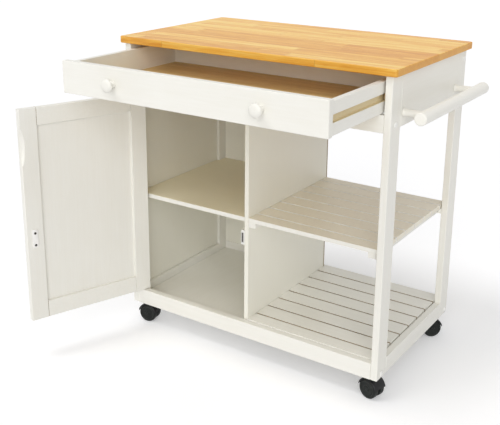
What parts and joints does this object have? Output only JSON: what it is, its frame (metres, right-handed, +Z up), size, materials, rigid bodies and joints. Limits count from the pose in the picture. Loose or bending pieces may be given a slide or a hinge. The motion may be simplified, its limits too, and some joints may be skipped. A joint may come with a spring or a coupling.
{
  "type": "butcher block table",
  "caption": "Rolling kitchen cart table with a butcher-block top, full-width drawer, pivot door cabinet, open slatted racks, a towel bar and twin-wheel casters.",
  "frame": {"origin": "centre of the bounding box's footprint in the stored pose, on the floor", "axes": "+X to the right seen from the front (the drawer's and door's side), +Y to the back, +Z up"},
  "size_m": [0.9838, 0.8088, 0.876],
  "materials": {
    "paint": "satin warm-white paint",
    "worktop": "oiled, edge-glued strips",
    "raw_wood": "bare",
    "hardboard": "matt",
    "plastic": "satin black",
    "wheel": "matt black",
    "steel": "bright"
  },
  "bodies": {
    "cart": {"apron_back": "paint", "apron_left": "paint", "apron_right": "paint", "back_panel": "paint", "cabinet_floor": "paint", "corner_block_back_left": "paint", "corner_block_back_right": "paint", "corner_block_front_left": "paint", "corner_block_front_right": "paint", "divider": "paint", "door_catch": "plastic", "drawer_rail": "paint", "lower_rail_back": "paint", "lower_rail_front": "paint", "lower_rail_left": "paint", "lower_rail_right": "paint", "post_back_left": "paint", "post_back_right": "paint", "post_front_left": "paint", "post_front_right": "paint", "rack_cleat_back": "paint", "rack_cleat_front": "paint", "rack_lower": "paint", "rack_middle": "paint", "runner_left": "raw_wood", "runner_right": "raw_wood", "shelf": "paint", "side_panel": "paint", "top": "worktop", "towel_arm_back": "paint", "towel_arm_front": "paint", "towel_bar": "paint"},
    "drawer": {"drawer_back": "paint", "drawer_bottom": "hardboard", "drawer_front": "paint", "drawer_side_left": "paint", "drawer_side_right": "paint", "knob_left": "paint", "knob_right": "paint"},
    "door": {"door_panel": "paint", "door_rail_lower": "paint", "door_rail_upper": "paint", "door_stile_free": "paint", "door_stile_hinge": "paint", "pivot_pin_lower": "steel", "pivot_pin_upper": "steel", "strike_plate": "steel"},
    "swivel_front_left": {"caster_front_left": "plastic"},
    "wheel_front_left_a": {"wheel_front_left_a": "wheel"},
    "wheel_front_left_b": {"wheel_front_left_b": "wheel"},
    "swivel_front_right": {"caster_front_right": "plastic"},
    "wheel_front_right_a": {"wheel_front_right_a": "wheel"},
    "wheel_front_right_b": {"wheel_front_right_b": "wheel"},
    "swivel_back_left": {"caster_back_left": "plastic"},
    "wheel_back_left_a": {"wheel_back_left_a": "wheel"},
    "wheel_back_left_b": {"wheel_back_left_b": "wheel"},
    "swivel_back_right": {"caster_back_right": "plastic"},
    "wheel_back_right_a": {"wheel_back_right_a": "wheel"},
    "wheel_back_right_b": {"wheel_back_right_b": "wheel"}
  },
  "joints": [
    {"name": "drawer_slide", "type": "slide", "parent": "cart", "child": "drawer", "axis": [0, -1, 0], "range_m": [-0.262, 0.098]},
    {"name": "door_hinge", "type": "hinge", "parent": "cart", "child": "door", "pos_m": [-0.35813, -0.06713, 0.418], "axis": [0, 0, -1], "range_deg": [-110.5, 11.5]},
    {"name": "swivel_front_left", "type": "hinge", "parent": "cart", "child": "swivel_front_left", "pos_m": [-0.35313, -0.03463, 0.07], "axis": [0, 0, 1], "continuous": true},
    {"name": "roll_front_left_a", "type": "hinge", "parent": "swivel_front_left", "child": "wheel_front_left_a", "pos_m": [-0.36491, -0.03687, 0.027], "axis": [0.1874, -0.9823, 0], "continuous": true},
    {"name": "roll_front_left_b", "type": "hinge", "parent": "swivel_front_left", "child": "wheel_front_left_b", "pos_m": [-0.36491, -0.03687, 0.027], "axis": [0.1874, -0.9823, 0], "continuous": true},
    {"name": "swivel_front_right", "type": "hinge", "parent": "cart", "child": "swivel_front_right", "pos_m": [0.37287, -0.03463, 0.07], "axis": [0, 0, 1], "continuous": true},
    {"name": "roll_front_right_a", "type": "hinge", "parent": "swivel_front_right", "child": "wheel_front_right_a", "pos_m": [0.3845, -0.03761, 0.027], "axis": [0.2487, 0.9686, 0], "continuous": true},
    {"name": "roll_front_right_b", "type": "hinge", "parent": "swivel_front_right", "child": "wheel_front_right_b", "pos_m": [0.3845, -0.03761, 0.027], "axis": [0.2487, 0.9686, 0], "continuous": true},
    {"name": "swivel_back_left", "type": "hinge", "parent": "cart", "child": "swivel_back_left", "pos_m": [-0.35313, 0.35337, 0.07], "axis": [0, 0, 1], "continuous": true},
    {"name": "roll_back_left_a", "type": "hinge", "parent": "swivel_back_left", "child": "wheel_back_left_a", "pos_m": [-0.36018, 0.36308, 0.027], "axis": [-0.809, -0.5878, 0], "continuous": true},
    {"name": "roll_back_left_b", "type": "hinge", "parent": "swivel_back_left", "child": "wheel_back_left_b", "pos_m": [-0.36018, 0.36308, 0.027], "axis": [-0.809, -0.5878, 0], "continuous": true},
    {"name": "swivel_back_right", "type": "hinge", "parent": "cart", "child": "swivel_back_right", "pos_m": [0.37287, 0.35337, 0.07], "axis": [0, 0, 1], "continuous": true},
    {"name": "roll_back_right_a", "type": "hinge", "parent": "swivel_back_right", "child": "wheel_back_right_a", "pos_m": [0.38162, 0.36159, 0.027], "axis": [-0.6845, 0.729, 0], "continuous": true},
    {"name": "roll_back_right_b", "type": "hinge", "parent": "swivel_back_right", "child": "wheel_back_right_b", "pos_m": [0.38162, 0.36159, 0.027], "axis": [-0.6845, 0.729, 0], "continuous": true}
  ]
}
